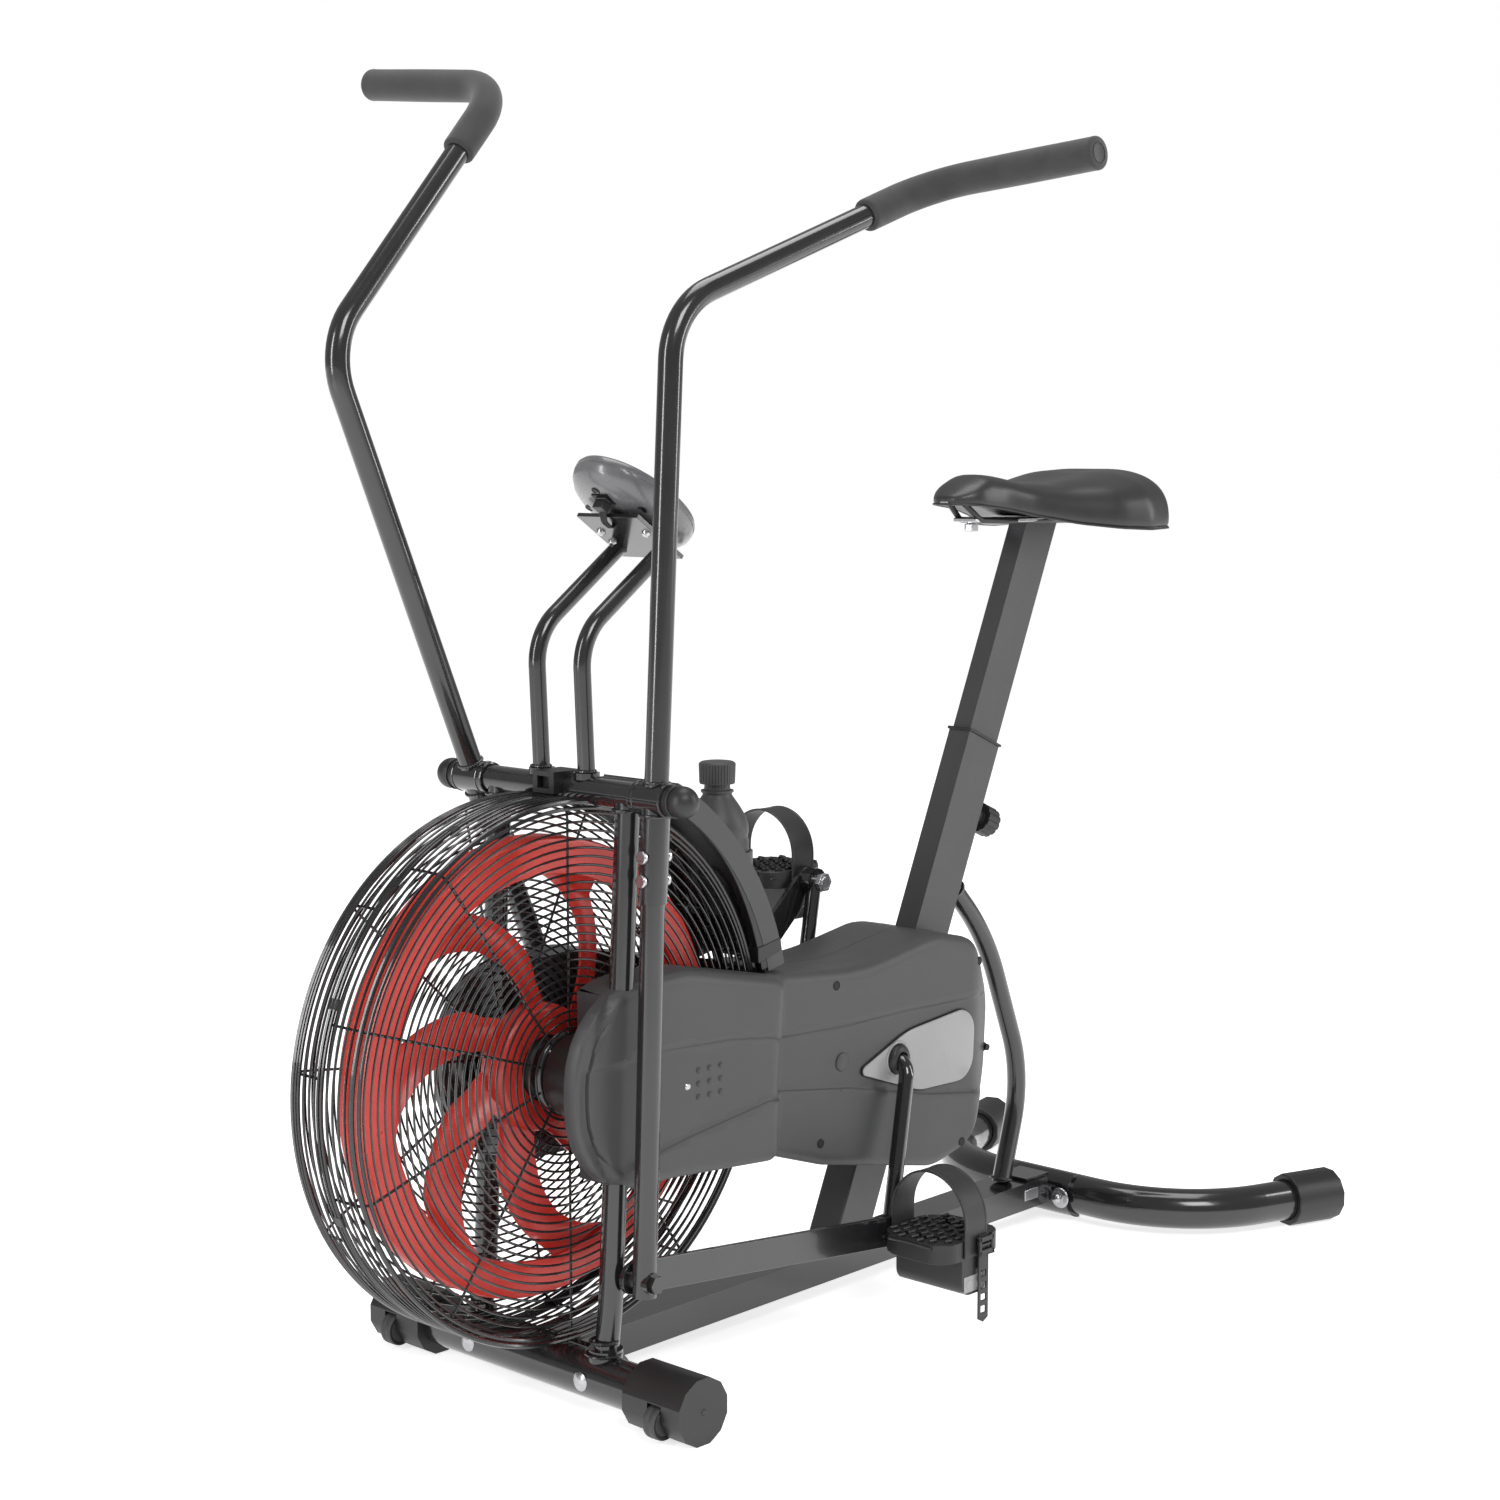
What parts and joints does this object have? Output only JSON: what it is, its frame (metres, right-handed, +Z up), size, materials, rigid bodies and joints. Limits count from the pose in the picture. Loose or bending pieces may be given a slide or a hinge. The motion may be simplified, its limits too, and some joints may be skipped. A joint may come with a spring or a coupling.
{
  "type": "air bike",
  "caption": "Fan exercise bike: caged fan wheel, pedal crank linked to swinging handles, tilted seat post, saddle, console on masts and floor stabilisers.",
  "frame": {"origin": "on the floor, under the middle of the whole bike", "axes": "+X from the fan to the seat, +Y to the rider's right (the rider faces -X), +Z up"},
  "size_m": [1.2358, 0.6808, 1.2328],
  "materials": {
    "gloss_black": "gloss black powder coat",
    "grey_tube": "satin dark grey paint",
    "black_crank": "gloss black",
    "cage_wire": "semi-gloss black coated wire",
    "red_plastic": "moulded red",
    "grey_plastic": "satin dark grey moulding",
    "black_plastic": "fine textured black",
    "strap_rubber": "soft black",
    "belt_rubber": "ribbed black",
    "wheel_rubber": "hard black",
    "silver_badge": "silver-grey",
    "zinc": "bright zinc plate",
    "dark_screw": "black oxide",
    "foam": "charcoal foam",
    "vinyl": "smooth black vinyl",
    "console_grey": "silver-grey moulding",
    "lcd": "clear window over a grey display",
    "pulley_grey": "glass-filled grey"
  },
  "bodies": {
    "frame": {"front_stabiliser": "gloss_black", "rear_stabiliser": "gloss_black", "front_left_cap": "black_plastic", "front_right_cap": "black_plastic", "rear_caps": "black_plastic", "stabiliser_bolts": "zinc", "base_beam": "gloss_black", "rear_bracket": "gloss_black", "left_fork": "gloss_black", "right_fork": "gloss_black", "crossbar": "gloss_black", "pivot_caps": "black_plastic", "upright": "grey_tube", "seat_tube": "grey_tube", "rear_brace": "gloss_black", "crank_shell": "gloss_black", "bearings": "zinc", "left_cage": "cage_wire", "right_cage": "cage_wire", "fan_axle": "zinc", "left_housing": "grey_plastic", "right_housing": "grey_plastic", "crank_badges": "silver_badge", "housing_screws": "dark_screw", "drive_belt": "belt_rubber", "wind_guard": "grey_plastic", "console_masts": "gloss_black", "console_bracket": "gloss_black", "console_case": "console_grey", "console_screen": "lcd", "lead_clip": "black_plastic", "post_bush": "black_plastic"},
    "fan": {"fan_wheel": "red_plastic", "fan_hub": "black_plastic"},
    "crank_set": {"crank": "black_crank", "crank_pulley": "pulley_grey", "pedal_spindles": "zinc"},
    "left_pedal_body": {"left_pedal": "black_plastic", "left_strap": "strap_rubber"},
    "right_pedal_body": {"right_pedal": "black_plastic", "right_strap": "strap_rubber"},
    "left_rod_body": {"left_rod": "gloss_black"},
    "right_rod_body": {"right_rod": "gloss_black"},
    "left_handle": {"left_arm": "gloss_black", "left_lower_arm": "gloss_black", "left_arm_bolts": "zinc", "left_grip": "foam"},
    "right_handle": {"right_arm": "gloss_black", "right_lower_arm": "gloss_black", "right_arm_bolts": "zinc", "right_grip": "foam"},
    "seat": {"seat_post": "grey_tube", "seat_clamp": "zinc", "seat_cushion": "vinyl"},
    "knob": {"post_knob": "black_plastic"},
    "left_transport_wheel": {"left_wheel": "wheel_rubber"},
    "right_transport_wheel": {"right_wheel": "wheel_rubber"},
    "bottle_body": {"bottle": "grey_plastic"},
    "bottle_lid": {"bottle_cap": "black_plastic"},
    "button": {"console_button": "black_plastic"}
  },
  "joints": [
    {"name": "crank_spin", "type": "hinge", "parent": "frame", "child": "crank_set", "pos_m": [0.065, 0, 0.246], "axis": [0, 1, 0], "continuous": true},
    {"name": "fan_spin", "type": "hinge", "parent": "frame", "child": "fan", "pos_m": [-0.369, 0, 0.303], "axis": [0, 1, 0], "continuous": true},
    {"name": "left_pedal_spin", "type": "hinge", "parent": "crank_set", "child": "left_pedal_body", "pos_m": [0.01647, -0.15, 0.08725], "axis": [0, 1, 0], "continuous": true},
    {"name": "right_pedal_spin", "type": "hinge", "parent": "crank_set", "child": "right_pedal_body", "pos_m": [0.11353, 0.15, 0.40475], "axis": [0, 1, 0], "continuous": true},
    {"name": "left_rod_turn", "type": "hinge", "parent": "crank_set", "child": "left_rod_body", "pos_m": [0.01647, -0.106, 0.08725], "axis": [0, 1, 0], "continuous": true},
    {"name": "right_rod_turn", "type": "hinge", "parent": "crank_set", "child": "right_rod_body", "pos_m": [0.11353, 0.106, 0.40475], "axis": [0, 1, 0], "continuous": true},
    {"name": "left_arm_swing", "type": "hinge", "parent": "frame", "child": "left_handle", "pos_m": [-0.335, -0.121, 0.556], "axis": [0, 1, 0], "range_deg": [-31, 4]},
    {"name": "right_arm_swing", "type": "hinge", "parent": "frame", "child": "right_handle", "pos_m": [-0.335, 0.121, 0.556], "axis": [0, 1, 0], "range_deg": [-5.3, 40.4]},
    {"name": "seat_post_slide", "type": "slide", "parent": "frame", "child": "seat", "axis": [0.3987, 0, 0.9171], "range_m": [-0.15, 0.05]},
    {"name": "knob_pull", "type": "slide", "parent": "frame", "child": "knob", "axis": [0.9171, 0, -0.3987], "range_m": [0, 0.008], "stiffness_N_per_m": 500, "springref_m": -0.006},
    {"name": "left_wheel_spin", "type": "hinge", "parent": "frame", "child": "left_transport_wheel", "pos_m": [-0.391, -0.18, 0.02], "axis": [0, 1, 0], "continuous": true},
    {"name": "right_wheel_spin", "type": "hinge", "parent": "frame", "child": "right_transport_wheel", "pos_m": [-0.391, 0.18, 0.02], "axis": [0, 1, 0], "continuous": true},
    {"name": "bottle_lift", "type": "slide", "parent": "frame", "child": "bottle_body", "axis": [0, 0, 1], "range_m": [0, 0.14]},
    {"name": "bottle_cap_turn", "type": "hinge", "parent": "bottle_body", "child": "bottle_lid", "pos_m": [-0.106, 0.026, 0.545], "axis": [0, 0, 1], "range_deg": [0, 360]},
    {"name": "button_press", "type": "slide", "parent": "frame", "child": "button", "axis": [-0.5592, 0, -0.829], "range_m": [0, 0.0015], "stiffness_N_per_m": 400, "springref_m": -0.001}
  ],
  "couplings": [
    {"joint": "fan_spin", "follows": "crank_spin", "ratio": 4},
    {"joint": "left_pedal_spin", "follows": "crank_spin", "ratio": -1},
    {"joint": "right_pedal_spin", "follows": "crank_spin", "ratio": -1},
    {"joint": "left_rod_turn", "follows": "crank_spin", "ratio": -1},
    {"joint": "right_rod_turn", "follows": "crank_spin", "ratio": -1.5},
    {"joint": "right_arm_swing", "follows": "left_arm_swing", "ratio": -1.3}
  ]
}
